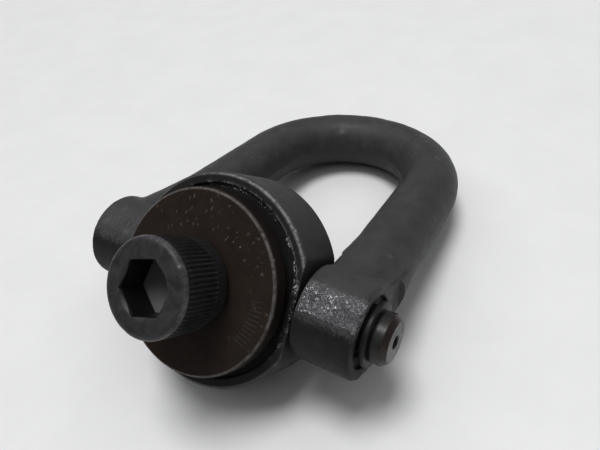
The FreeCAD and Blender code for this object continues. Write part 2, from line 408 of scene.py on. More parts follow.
def make_load_washer():
    """Thick washer: chamfered, nicked along its rims, with plain tally strokes stamped in its face."""
    bottom, top, radius = WASHER_LOW.z, WASHER_HIGH.z, WASHER_HIGH.x
    corners = [
        (CLEARANCE_HOLE_R, bottom, 0.2),
        (radius - 0.7, bottom, 0.3),
        (radius, bottom + 0.7, 0.3),
        (radius, top - 0.75, 0.35),
        (radius - 0.75, top, 0.35),
        (CLEARANCE_HOLE_R, top, 0.2),
    ]
    outline = divided(filleted(corners), 0.45, closed=True)
    grid = turned_grid(outline, 720)
    wear = np.zeros(grid.shape[:2])
    rng = random.Random(21)
    dent(grid, wear, *rim_dents(rng, 14, radius - 0.3, top - 0.3, True, (0.2, 0.45), (0.04, 0.12)))
    dent(grid, wear, *rim_dents(rng, 16, radius - 0.3, bottom + 0.3, False, (0.2, 0.45), (0.04, 0.12)))
    centres, sizes, depths = [], [], []
    for _ in range(WASHER_PITS):
        turn, reach = rng.gauss(math.radians(245), 0.75), rng.uniform(14, 22.5)
        centres.append(np.array((reach * math.cos(turn), reach * math.sin(turn), top)))
        sizes.append(rng.uniform(0.1, 0.24))
        depths.append(rng.uniform(0.03, 0.07))
    dent(grid, wear, centres, sizes, depths, [np.array((0, 0, -1.0))] * len(centres))
    turns = np.arctan2(grid[..., 1], grid[..., 0]) % FULL_TURN
    reach = np.hypot(grid[..., 0], grid[..., 1])
    on_face = np.abs(grid[..., 2] - top) < 0.05
    for k in range(TALLY_STROKES):
        middle = math.radians(TALLY_FIRST_DEG + TALLY_SPACING_DEG * k)
        across = (turns - middle) * reach - TALLY_LEAN * (reach - TALLY_R)
        along = np.clip((TALLY_HALF_LENGTH - np.abs(reach - TALLY_R)) / 0.3, 0, 1)
        stroke = np.exp(-((across / TALLY_HALF_WIDTH) ** 2)) * along * on_face
        grid[..., 2] -= TALLY_DEPTH * stroke
        wear = np.maximum(wear, 0.22 * stroke)
    return piece_from_bmesh("load_washer_disc", grid_bmesh(grid, wear, closed_rows=True), 38)


def make_swivel_body():
    """Thick disc with a flat on each side, chamfered all round, and a shallow recess with a chipped edge."""
    bottom, top, half_width = BODY_LOW.z, BODY_HIGH.z, BODY_HIGH.x
    columns = 720
    turns = np.linspace(0, FULL_TURN, columns, endpoint=False)
    to_flat = half_width / np.maximum(np.abs(np.cos(turns)), 1e-6)
    plan = -np.log(np.exp(-6 * np.minimum(to_flat, 60)) + np.exp(-6 * BODY_R)) / 6
    flatness = np.clip((BODY_R - plan) / 0.6, 0, 1)
    inset_scale = 1 - 0.6 * flatness
    inset_profile = filleted([(1.5, top, 0), (0.9, top, 0.3), (0, top - 0.9, 0.3), (0, top - 6, 0)])
    inset_profile = divided(inset_profile, 0.35)
    rows = []

    def row(radius, height):
        rows.append(np.stack([radius * np.cos(turns), radius * np.sin(turns), height + 0 * turns], 1))

    recess = np.minimum(RECESS_R, plan - 1.9)
    recess_floor = top - RECESS_DEPTH
    row(BODY_BORE_R, bottom + 0.4)
    row(BODY_BORE_R, recess_floor - 0.4)
    for k in range(7):
        row(BODY_BORE_R + 0.4 + (recess - 0.3 - BODY_BORE_R - 0.4) * k / 6, recess_floor)
    row(recess, recess_floor + 0.25)
    row(recess, top - 0.2)
    row(recess + 0.06, top - 0.06)
    row(recess + 0.2, top)
    land_end = plan - 1.5 * inset_scale
    for k in range(1, 5):
        row(recess + 0.2 + (land_end - recess - 0.2) * k / 5, top)
    for inset, height in inset_profile:
        row(plan - inset * inset_scale, top - (top - height) * inset_scale)
    for k in range(1, 8):
        row(plan, top - 6 * inset_scale + (bottom + 6 * inset_scale - top + 6 * inset_scale) * k / 8)
    for inset, height in reversed(inset_profile):
        row(plan - inset * inset_scale, bottom + (top - height) * inset_scale)
    row(BODY_BORE_R + 0.4, bottom)
    points = np.array(rows)
    wear = np.zeros(points.shape[:2])
    rng = random.Random(8)
    for height, downwards in ((top - 0.3, True), (bottom + 0.3, False)):
        sizes, depths = (0.2, 0.45), (0.04, 0.14)
        dents = rim_dents(rng, 26, BODY_R - 0.4, height, downwards, sizes, depths, half_width)
        dent(points, wear, *dents)
    chips = [[], [], [], []]
    for _ in range(RECESS_CHIPS):
        turn = rng.gauss(WORN_AND_LIT_SIDE, 0.6)
        centre = (RECESS_R * math.cos(turn), RECESS_R * math.sin(turn), top + rng.uniform(-0.1, 0.1))
        values = (centre, rng.uniform(0.16, 0.6), rng.uniform(0.05, 0.2), (0, 0, -1.0))
        for chip, value in zip(chips, values):
            chip.append(np.array(value))
    dent(points, wear, *chips)
    # Bare metal shows mostly on the lit side: partly wear, partly a painted highlight.
    wear *= 0.3 + 0.7 * np.clip(np.cos(turns - WORN_AND_LIT_SIDE) * 1.5, 0, 1)
    body = piece_from_bmesh("swivel_body_forging", grid_bmesh(points, wear, closed_rows=True), 32)
    roll_pin_r = (ROLL_PIN_HIGH.x - ROLL_PIN_LOW.x) / 2 + 0.05
    roll_pin_x = (ROLL_PIN_HIGH.x + ROLL_PIN_LOW.x) / 2
    hole_corners = [
        (0, bottom - 1, 0),
        (roll_pin_r, bottom - 1, 0),
        (roll_pin_r, top + 1, 0),
        (0, top + 1, 0),
    ]
    for _, side in SIDES:
        hole = turned_piece("hole", hole_corners, 40, closed=False)
        hole.data.transform(Matrix.Translation((side * roll_pin_x * MM, 0, 0)))
        cut_away(body, hole)
    finish_mesh(body.data, 32)
    return body


def make_flange_bushing():
    sleeve_top = BUSHING_HIGH.z
    corners = [
        (COUNTERBORE_R, 0, 0.25),
        (FLANGE_R - 0.8, 0, 0.3),
        (FLANGE_R, 0.8, 0.3),
        (FLANGE_R, FLANGE_TOP, 0.4),
        (SLEEVE_R, FLANGE_TOP, 0.3),
        (SLEEVE_R, sleeve_top, 0.3),
        (CLEARANCE_HOLE_R, sleeve_top, 0.3),
        (CLEARANCE_HOLE_R, COUNTERBORE_DEPTH, 0.2),
        (COUNTERBORE_R, COUNTERBORE_DEPTH, 0.3),
    ]
    outline = divided(filleted(corners), 0.6, closed=True)
    grid = turned_grid(outline, 360)
    wear = np.zeros(grid.shape[:2])
    dents = rim_dents(random.Random(3), 40, FLANGE_R - 0.3, 0.3, False, (0.25, 0.7), (0.05, 0.2))
    dent(grid, wear, *dents)
    return piece_from_bmesh("bushing_flange", grid_bmesh(grid, wear, closed_rows=True), 38)


def make_load_pin(name, side):
    """Pin: ring groove, and a dented, chamfered end with a drilled centre."""
    inner, outer = PIN_LOW.x, PIN_HIGH.x
    corners = [
        (0, inner, 0),
        (PIN_R, inner, 0.4),
        (PIN_R, RING_LOW.x - 0.1, 0.1),
        (PIN_GROOVE_R, RING_LOW.x - 0.1, 0.1),
        (PIN_GROOVE_R, RING_HIGH.x + 0.5, 0.1),
        (PIN_R, RING_HIGH.x + 0.5, 0.2),
        (PIN_R, outer - 1.4, 0.35),
        (5.2, outer, 0.3),
        (1.9, outer, 0.15),
        (PIN_CENTRE_HOLE_R, outer - 0.35, 0.1),
        (PIN_CENTRE_HOLE_R, outer - 3.2, 0.1),
        (0, outer - 3.9, 0),
    ]
    outline = divided(filleted(corners), 0.5)
    grid = turned_grid(outline, 144)
    wear = np.zeros(grid.shape[:2])
    dents = rim_dents(random.Random(31 + side), 16, 5.6, outer - 0.5, True, (0.2, 0.4), (0.03, 0.1))
    dent(grid, wear, *dents)
    pin = piece_from_bmesh(name, grid_bmesh(grid, wear), 38)
    lay_along_x(pin, side)
    return pin


def make_retaining_ring(name, side):
    inner, outer, radius = RING_LOW.x, RING_HIGH.x, RING_HIGH.y
    corners = [
        (PIN_GROOVE_R + 0.05, inner, 0.15),
        (radius, inner, 0.3),
        (radius, outer, 0.4),
        (PIN_GROOVE_R + 0.05, outer, 0.15),
    ]
    ring = split_ring(name, corners, 120, 0 if side > 0 else math.pi, 3.2, radius)
    lay_along_x(ring, side)
    return ring


def make_captive_ring():
    thickness = CAPTIVE_HIGH.z - CAPTIVE_LOW.z
    radius = CAPTIVE_HIGH.x
    corners = [
        (GROOVE_R + 0.05, CAPTIVE_LOW.z, 0.1),
        (radius, CAPTIVE_LOW.z, thickness * 0.3),
        (radius, CAPTIVE_HIGH.z, thickness * 0.3),
        (GROOVE_R + 0.05, CAPTIVE_HIGH.z, 0.1),
    ]
    return split_ring("captive_snap_ring", corners, 96, math.pi / 2, 3.0, radius)


def make_roll_pin(name, side):
    """Slotted spring pin with tapered ends."""
    bottom, top = ROLL_PIN_LOW.z, ROLL_PIN_HIGH.z
    outer = (ROLL_PIN_HIGH.x - ROLL_PIN_LOW.x) / 2
    corners = [
        (outer - 0.8, bottom, 0.1),
        (outer - 0.3, bottom, 0.1),
        (outer, bottom + 1.2, 0.4),
        (outer, top - 1.2, 0.4),
        (outer - 0.3, top, 0.1),
        (outer - 0.8, top, 0.1),
    ]
    pin = split_ring(name, corners, 48, math.pi / 2, 0.8, outer)
    pin.data.transform(Matrix.Translation((side * (ROLL_PIN_HIGH.x + ROLL_PIN_LOW.x) / 2 * MM, 0, 0)))
    return pin


# The bail's plane: S runs from the pins' axis to the crown, and W is the plane's normal.
BAIL_S = Vector((0, -math.sin(BAIL_REST), math.cos(BAIL_REST)))
BAIL_W = Vector((1, 0, 0)).cross(BAIL_S)
PIN_CENTRE = Vector((0, 0, PIN_AXIS_Z))


def bail_path():
    """Points (x, s) along the bar's middle, from the left eye round the crown to the right eye."""
    crown_r = LEG_X_AT_PIN * math.cos(LEG_LEAN) - CROWN_CENTRE * math.sin(LEG_LEAN)
    arc_start = math.pi - LEG_LEAN
    arc = []
    for k in range(97):
        turn = arc_start + (LEG_LEAN - arc_start) * k / 96
        arc.append(Vector((crown_r * math.cos(turn), CROWN_CENTRE + crown_r * math.sin(turn))))
    left = [Vector((-LEG_X_AT_PIN, 0)).lerp(arc[0], k / 40) for k in range(40)]
    right = [arc[-1].lerp(Vector((LEG_X_AT_PIN, 0)), k / 40) for k in range(1, 41)]
    return left + arc + right


def make_bar_blank():
    """The bent bar as one tube, thicker where it runs into the eyes."""
    path = bail_path()
    columns = 64
    turns = np.linspace(0, FULL_TURN, columns, endpoint=False)
    rows = []
    for i, point in enumerate(path):
        tangent = (path[min(i + 1, len(path) - 1)] - path[max(i - 1, 0)]).normalized()
        across = Vector((tangent.y, -tangent.x))
        neck = max(0.0, 1 - point.y / NECK_LENGTH) if abs(point.x) > 28 else 0.0
        radius = BAR_R + (NECK_R - BAR_R) * neck
        centre = PIN_CENTRE + Vector((point.x, 0, 0)) + BAIL_S * point.y
        side = Vector((across.x, 0, 0)) + BAIL_S * across.y
        ring = [centre + (side * math.cos(t) + BAIL_W * math.sin(t)) * radius for t in turns]
        rows.append([tuple(p) for p in ring])
    bm = grid_bmesh(np.array(rows))
    ends = [edge for edge in bm.edges if edge.is_boundary]
    bmesh.ops.holes_fill(bm, edges=ends, sides=0)
    return piece_from_bmesh("forged_bail_bar", bm)


def shape_forging(piece):
    """Forging unevenness, a parting line, the ground flat on each eye, and some dents, on a dense mesh."""
    count = len(piece.data.vertices)
    points = np.empty(count * 3)
    normals = np.empty(count * 3)
    piece.data.vertices.foreach_get("co", points)
    piece.data.vertex_normals.foreach_get("vector", normals)
    points = points.reshape(-1, 3) / MM
    normals = normals.reshape(-1, 3)
    swell = np.array([0.1 * fbm(p, 7.0) + 0.045 * fbm(p, 1.8) for p in points]) - 0.03
    points += normals * np.minimum(swell, 0.04)[:, None]
    middle = np.array(PIN_CENTRE)
    along = (points - middle) @ np.array(BAIL_S)
    off_plane = (points - middle) @ np.array(BAIL_W)
    in_plane = 1 - np.abs(normals @ np.array(BAIL_W))
    ridge = 0.1 * np.exp(-((off_plane / 0.55) ** 2)) * np.clip(in_plane * 2 - 1, 0, 1) * (along > 22)
    inner_side = np.hypot(points[:, 0], np.maximum(along - CROWN_CENTRE, 0)) < BAR_MIDDLE_R
    points += normals * (ridge * np.where(inner_side, 1.6, -0.6))[:, None]
    flat_normal = np.array((0, math.cos(GROUND_FLAT_ANGLE), math.sin(GROUND_FLAT_ANGLE)))
    beyond = (points - middle) @ flat_normal - GROUND_FLAT_DISTANCE
    points -= np.outer(np.maximum(beyond, 0) * (along < 12), flat_normal)
    wear = np.zeros(count)
    rng = random.Random(14)
    chosen = [rng.randrange(count) for _ in range(FORGING_DENTS)]
    sizes = [rng.uniform(0.4, 1.5) for _ in chosen]
    depths = [rng.uniform(0.05, 0.22) for _ in chosen]
    dent(points, wear, [points[i].copy() for i in chosen], sizes, depths, [-normals[i] for i in chosen])
    piece.data.vertices.foreach_set("co", (points * MM).ravel())
    layer = piece.data.attributes.new("wear", "FLOAT", "POINT")
    layer.data.foreach_set("value", wear)
    piece.data.update()


def eye_cutter(side):
    """What is machined off one eye: inner and outer faces, bore and counterbore, as one turned shape."""
    counterbore_floor = EYE_OUTER_X - EYE_COUNTERBORE_DEPTH
    bore_r = PIN_R + 0.06
    corners = [
        (0, 10, 0),
        (25, 10, 0),
        (25, 19, 0),
        (16.5, EYE_INNER_X, 1.5),
        (bore_r + 0.4, EYE_INNER_X, 0.1),
        (bore_r, EYE_INNER_X + 0.4, 0.1),
        (bore_r, counterbore_floor - 0.3, 0.1),
        (bore_r + 0.3, counterbore_floor, 0.1),
        (EYE_COUNTERBORE_R, counterbore_floor, 0.2),
        (EYE_COUNTERBORE_R, EYE_OUTER_X - 0.3, 0.1),
        (9.6, EYE_OUTER_X, 0.1),
        (17.0, EYE_OUTER_X, 1.6),
        (18.6, EYE_OUTER_X + 5, 0),
        (18.6, EYE_OUTER_X + 12, 0),
        (0, EYE_OUTER_X + 12, 0),
    ]
    cutter = turned_piece("cutter", corners, 180, closed=False)
    lay_along_x(cutter, side)
    return cutter


def make_bail():
    """A forging: bar and eyes blended by remeshing, worn and dented, then machined at the eyes."""
    bail = make_bar_blank()
    barrel = [
        (0, EYE_INNER_X - 0.5, 0),
        (EYE_R, EYE_INNER_X - 0.5, 0.9),
        (EYE_R, EYE_OUTER_X + 0.1, 0.8),
        (0, EYE_OUTER_X + 0.1, 0),
    ]
    for _, side in SIDES:
        eye = turned_piece("eye", barrel, 96, closed=False, step=2.0)
        lay_along_x(eye, side)
        joined = bmesh.new()
        joined.from_mesh(bail.data)
        joined.from_mesh(eye.data)
        joined.to_mesh(bail.data)
        joined.free()
        bpy.data.objects.remove(eye)
    remesh = bail.modifiers.new("blend", "REMESH")
    remesh.mode = "VOXEL"
    remesh.voxel_size = FORGING_VOXEL * MM
    soften = bail.modifiers.new("soften", "SMOOTH")
    soften.factor = 0.5
    soften.iterations = FORGING_SMOOTHING
    evaluated(bail)
    shape_forging(bail)
    for _, side in SIDES:
        cut_away(bail, eye_cutter(side))
    finish_mesh(bail.data, 34)
    return bail


# Materials.

# Colours that are laid over the steels.
SMUDGE = (0.022, 0.022, 0.024)
# Painted shade for the socket's walls.
SOCKET_WALL_PAINTED_SHADE = (0.009, 0.009, 0.009)
# Painted shade for the knurled side.
KNURL_PAINTED_SHADE = (0.0121, 0.0121, 0.0121)
# A painted highlight for the socket's floor.
SOCKET_FLOOR_PAINTED_HIGHLIGHT = (0.21, 0.21, 0.215)
BUSHING_BROWN = (0.0605, 0.0384, 0.0271)
WASHER_BROWN = (0.0472, 0.0291, 0.021)
WASHER_SPECKS = (0.158, 0.133, 0.112)
# Painted shade for the load washer's rim.
WASHER_RIM_PAINTED_SHADE = (0.0121, 0.00959, 0.00829)
# Painted shade for the recess under the load washer.
RECESS_PAINTED_SHADE = (0.012, 0.0115, 0.011)
# A darker tone for the body's land beside the recess.
LAND_DARK_TONE = (0.012, 0.012, 0.012)
# Bright specks of struck steel, partly chips and partly painted glints on the lit side.
STRUCK_STEEL_AND_GLINT = (0.8, 0.8, 0.8)
# Painted shade for the eyes' barrels, on the side away from the light.
EYE_BARREL_PAINTED_SHADE = (0.0121, 0.0116, 0.0108)
GROUND_DARK = (0.2, 0.196, 0.209)
GROUND_LIGHT = (0.47, 0.46, 0.48)
GROUND_DULL = (0.13, 0.128, 0.132)
GROUND_GLINT = (1.0, 0.99, 0.98)
SMEARED_STEEL = (0.12, 0.118, 0.122)
EYE_RIM_RUST = (0.055, 0.036, 0.025)
# Painted shade for the spot faces beyond the eyes' barrels.
SPOT_FACE_PAINTED_SHADE = (0.02, 0.02, 0.02)
CHAMFER_OIL = (0.0291, 0.0251, 0.0231)
CHAMFER_RUST = (0.045, 0.029, 0.021)
PIN_FACE_DARK = (0.045, 0.043, 0.04)
PIN_FACE_LIGHT = (0.17, 0.165, 0.16)

# Angles about the pins' axis where the eyes' barrels carry painted shade, are smeared and are ground. A pair
# is a soft limit.
SHADED_MIDDLE_DEG = 20
SHADED_REACH_DEG = (80, 68)
SMEAR_START_DEG = (86, 93)
PATCH_START_DEG = (97, 100)
PATCH_END_DEG = (141, 124)


class Finish:
    """A material and short names for the nodes it is built from. Lengths in its patterns are in mm."""

    def __init__(self, name):
        self.material = bpy.data.materials.new(name)
        self.material.use_nodes = True
        self.tree = self.material.node_tree
        self.surface = self.tree.nodes["Principled BSDF"]
        coordinates = self.node("ShaderNodeTexCoord")
        scaled = self.node("ShaderNodeVectorMath", operation="SCALE")
        self.tree.links.new(coordinates.outputs["Object"], scaled.inputs[0])
        scaled.inputs["Scale"].default_value = 1 / MM
        self.place = scaled.outputs[0]
        apart = self.node("ShaderNodeSeparateXYZ")
        self.tree.links.new(self.place, apart.inputs[0])
        self.x, self.y, self.z = apart.outputs

    def node(self, kind, **settings):
        made = self.tree.nodes.new(kind)
        for key, value in settings.items():
            setattr(made, key, value)
        return made

    def feed(self, socket, value):
        if isinstance(value, bpy.types.NodeSocket):
            self.tree.links.new(value, socket)
        else:
            socket.default_value = value

    def math(self, operation, a, b=0.0, clamp=False):
        made = self.node("ShaderNodeMath", operation=operation, use_clamp=clamp)
        self.feed(made.inputs[0], a)
        self.feed(made.inputs[1], b)
        return made.outputs[0]

    def times(self, a, b):
        return self.math("MULTIPLY", a, b)

    def absolute(self, value):
        return self.math("ABSOLUTE", value)

    def step(self, value, low, high, result_low=0.0, result_high=1.0):
        """Rises smoothly from result_low to result_high as value goes from low to high."""
        made = self.node("ShaderNodeMapRange", interpolation_type="SMOOTHSTEP")
        for socket, number in zip(made.inputs[:5], (value, low, high, result_low, result_high)):
            self.feed(socket, number)
        return made.outputs[0]

    def turn_step(self, angle, low_deg, high_deg):
        """Like step, for an angle in radians between limits in degrees."""
        return self.step(angle, math.radians(low_deg), math.radians(high_deg))

    def near(self, value, middle, reach):
        """1 where value is at middle, falling to 0 at that reach on each side."""
        away = self.absolute(self.math("SUBTRACT", value, middle))
        return self.step(away, reach, reach * 0.3)

    def noise(self, scale, detail=3.0, roughness=0.55, distortion=0.0, stretch=None):
        made = self.node("ShaderNodeTexNoise")
        place = self.place
        if stretch:
            mapping = self.node("ShaderNodeMapping")
            self.tree.links.new(place, mapping.inputs[0])
            mapping.inputs["Rotation"].default_value = stretch[0]
            mapping.inputs["Scale"].default_value = stretch[1]
            place = mapping.outputs[0]
        self.tree.links.new(place, made.inputs["Vector"])
        made.inputs["Scale"].default_value = scale
        made.inputs["Detail"].default_value = detail
        made.inputs["Roughness"].default_value = roughness
        made.inputs["Distortion"].default_value = distortion
        return made.outputs["Fac"]

    def mix(self, share, a, b):
        made = self.node("ShaderNodeMix", data_type="RGBA")
        self.feed(made.inputs[0], share)
        for socket, value in ((made.inputs[6], a), (made.inputs[7], b)):
            self.feed(socket, (*value, 1.0) if isinstance(value, tuple) else value)
        return made.outputs[2]

    def bands(self, place, scale):
        """Fine bands, as turning leaves them, along one measure."""
        made = self.node("ShaderNodeTexNoise", noise_dimensions="1D")
        self.feed(made.inputs["W"], place)
        made.inputs["Scale"].default_value = scale
        return made.outputs["Fac"]

    def attribute(self, name):
        return self.node("ShaderNodeAttribute", attribute_name=name).outputs["Fac"]

    def radius(self, centre_z=None):
        """The distance from the bolt's axis, or from the pins' axis at that height."""
        a, b = self.x, self.y
        if centre_z is not None:
            a, b = self.y, self.math("SUBTRACT", self.z, centre_z)
        squares = self.math("ADD", self.times(a, a), self.times(b, b))
        return self.math("SQRT", squares)

    def scratches(self, turn_deg, density, seed):
        """Thin short lines that run one way."""
        turn = (0.3 * seed, 0.2 * seed, math.radians(turn_deg))
        streaks = self.noise(1.0, 2.0, 0.5, 0.3, (turn, (7.0, 0.35, 0.35)))
        patches = self.noise(0.12 + 0.03 * seed, 2.0)
        threshold = self.step(patches, 0.35, 0.7, 0.82, 0.82 - density)
        return self.step(self.math("SUBTRACT", streaks, threshold), 0.0, 0.06)

    def finish(self, colour, roughness, heights):
        """Sets colour, roughness and bump; heights are pairs of a pattern and its depth in mm."""
        self.feed(self.surface.inputs["Base Color"], colour)
        self.feed(self.surface.inputs["Roughness"], roughness)
        normal = None
        for pattern, depth in heights:
            bump = self.node("ShaderNodeBump")
            bump.inputs["Distance"].default_value = depth * MM
            self.feed(bump.inputs["Height"], pattern)
            if normal:
                self.tree.links.new(normal, bump.inputs["Normal"])
            normal = bump.outputs[0]
        self.tree.links.new(normal, self.surface.inputs["Normal"])


def steel(
    name, dark, light, bare, roughness, specular,
    metallic=0.0, edge=None, rub=(0.44, 0.64), extra=None, wear_gain=1.0,
):
    """A worn oxide finish: two mottled tones, grain, scratches, and bare metal in dents and along an edge, on
    some steels also a painted highlight.
    """
    f = Finish(name)
    mottle = f.step(f.noise(0.22, 5.0, 0.6, 0.4), 0.3, 0.72)
    grain = f.noise(2.6, 3.0, 0.7)
    fine = f.noise(9.0, 2.0, 0.6)
    colour = f.mix(mottle, dark, light)
    shade = f.times(f.step(grain, 0.3, 0.75), 0.4)
    colour = f.mix(shade, colour, tuple(c * 1.5 for c in light))
    scratches = f.math("MAXIMUM", f.scratches(25, 0.13, 1), f.scratches(112, 0.12, 2))
    worn = f.times(f.attribute("wear"), f.step(grain, 0.32, 0.62, 0.0, wear_gain))
    if edge:
        rubbed = f.step(f.noise(0.9, 4.0, 0.65), *rub)
        worn = f.math("MAXIMUM", worn, f.times(edge(f), rubbed))
    worn = f.math("MAXIMUM", worn, f.times(scratches, 0.12), clamp=True)
    colour = f.mix(worn, colour, bare)
    unevenness = f.math("ADD", mottle, f.times(fine, 0.5))
    rough = f.step(unevenness, 0.2, 1.2, roughness - 0.06, roughness + 0.08)
    rough = f.math("SUBTRACT", rough, f.times(worn, 0.12), clamp=True)
    heights = [(grain, 0.03), (fine, 0.01), (scratches, -0.01)]
    f.surface.inputs["Metallic"].default_value = metallic
    if extra:
        colour, rough, heights = extra(f, colour, rough, heights)
    f.surface.inputs["Specular IOR Level"].default_value = specular
    f.finish(colour, rough, heights)
    return f.material


def ring_edge(radius, height, reach, strength=1.0):
    """Picks out a round edge about the bolt's axis."""

    def share(f):
        here = f.times(f.near(f.radius(), radius, reach), f.near(f.z, height, reach))
        return f.times(here, strength)

    return share


def both(first, second):
    def share(f):
        return f.math("MAXIMUM", first(f), second(f))

    return share


def socket_inside(f, colour, rough, heights):
    """Dark smudges all over, painted shade on the knurled side and on the socket's walls, and a painted
    highlight on the socket's floor.
    """
    smudge = f.step(f.noise(0.28, 4.0, 0.65, 0.5), 0.42, 0.66)
    colour = f.mix(f.times(smudge, 0.45), colour, SMUDGE)
    inside = f.step(f.radius(), SOCKET_MOUTH_R + 0.9, SOCKET_MOUTH_R + 0.4)
    # Painted shade on the socket's walls.
    walls = f.times(inside, f.step(f.z, HEAD_TOP - 0.6, HEAD_TOP - 1.2))
    colour = f.mix(f.times(walls, 0.9), colour, SOCKET_WALL_PAINTED_SHADE)
    # Painted shade on the knurled side, left off the worn ridge ends.
    knurl = f.times(f.step(f.radius(), HEAD_R - 0.9, HEAD_R - 0.7), f.step(f.z, KNURL_TOP + 0.4, KNURL_TOP))
    knurl = f.times(knurl, f.math("SUBTRACT", 1.0, f.attribute("wear"), clamp=True))
    colour = f.mix(f.times(knurl, 0.5), colour, KNURL_PAINTED_SHADE)
    # A painted highlight on the socket's floor.
    bottom = f.step(f.z, HEAD_TOP - SOCKET_DEPTH + 0.3, HEAD_TOP - SOCKET_DEPTH + 0.1)
    return f.mix(f.times(inside, bottom), colour, SOCKET_FLOOR_PAINTED_HIGHLIGHT), rough, heights


def rust_brown(f, colour, rough, heights, tone=BUSHING_BROWN, amount=0.6):
    """Thin brown bloom in soft patches."""
    bloom = f.times(f.step(f.noise(0.35, 5.0, 0.65, 0.6), 0.45, 0.75), amount)
    return f.mix(bloom, colour, tone), rough, heights


def washer_extra(f, colour, rough, heights):
    """Turning rings on the face, brown bloom, painted shade on the rim, and specks of bare metal towards one
    side.
    """
    specks = f.step(f.noise(2.3, 2.0, 0.8), 0.64, 0.72)
    patch = f.times(f.step(f.noise(0.11, 2.0), 0.42, 0.6), f.step(f.y, 2.0, -14.0))
    colour, rough, heights = rust_brown(f, colour, rough, heights, WASHER_BROWN, 0.75)
    colour = f.mix(f.times(f.times(specks, patch), 0.5), colour, WASHER_SPECKS)
    # Painted shade on the washer's rim.
    rim = f.step(f.radius(), WASHER_HIGH.x - 0.5, WASHER_HIGH.x - 0.1)
    rim = f.times(rim, f.step(f.z, WASHER_HIGH.z - 0.5, WASHER_HIGH.z - 0.9))
    colour = f.mix(f.times(rim, 0.7), colour, WASHER_RIM_PAINTED_SHADE)
    return colour, rough, heights + [(f.bands(f.radius(), 3.0), 0.012)]


def towards_worn_and_lit_side(f):
    """Rises from nothing on the far side to one on the worn, lit side of the body, where wear is partly a
    painted highlight.
    """
    return f.step(f.math("ADD", f.x, f.y), -10.0, -32.0)


# Bare metal along the body's top edge: on the lit side partly wear and partly a painted highlight, and a
# faint worn line all round.
def rubbed_and_highlit_body_edge(f):
    share = f.times(ring_edge(BODY_R - 0.75, BODY_HIGH.z - 0.2, 0.6, 0.6)(f), towards_worn_and_lit_side(f))
    return f.math("ADD", share, ring_edge(BODY_R - 0.45, BODY_HIGH.z - 0.45, 0.8, 0.07)(f))


def face_shade_and_specks(f, colour, rough, heights):
    """Painted shade in the recess under the load washer, a darker land, and bright specks where its edge has
    been struck, partly painted glints.
    """
    top = f.step(f.z, BODY_HIGH.z - 1.3, BODY_HIGH.z - 1.1)
    recess = f.times(top, f.step(f.radius(), RECESS_R + 0.2, RECESS_R - 0.1))
    land = f.times(f.step(f.z, BODY_HIGH.z - 0.14, BODY_HIGH.z - 0.06), f.step(f.radius(), 24.9, 25.2))
    # Painted shade in the recess under the load washer.
    colour = f.mix(f.times(recess, 0.75), colour, RECESS_PAINTED_SHADE)
    # The land beside the recess is darker.
    colour = f.mix(f.times(land, 0.5), colour, LAND_DARK_TONE)
    beaten = f.times(f.math("MAXIMUM", land, recess), f.step(f.radius(), 23.9, 24.6))
    beaten = f.times(beaten, f.step(f.radius(), RECESS_R + 0.9, RECESS_R + 0.3))
    # Specks of struck steel on the lit side: partly chips, partly painted glints.
    specks = f.times(f.step(f.noise(1.9, 2.0, 0.8), 0.57, 0.62), f.step(f.noise(0.35, 2.0), 0.42, 0.55))
    specks = f.times(f.times(specks, beaten), towards_worn_and_lit_side(f))
    colour = f.mix(f.times(specks, 0.85), colour, STRUCK_STEEL_AND_GLINT)
    return colour, rough, heights


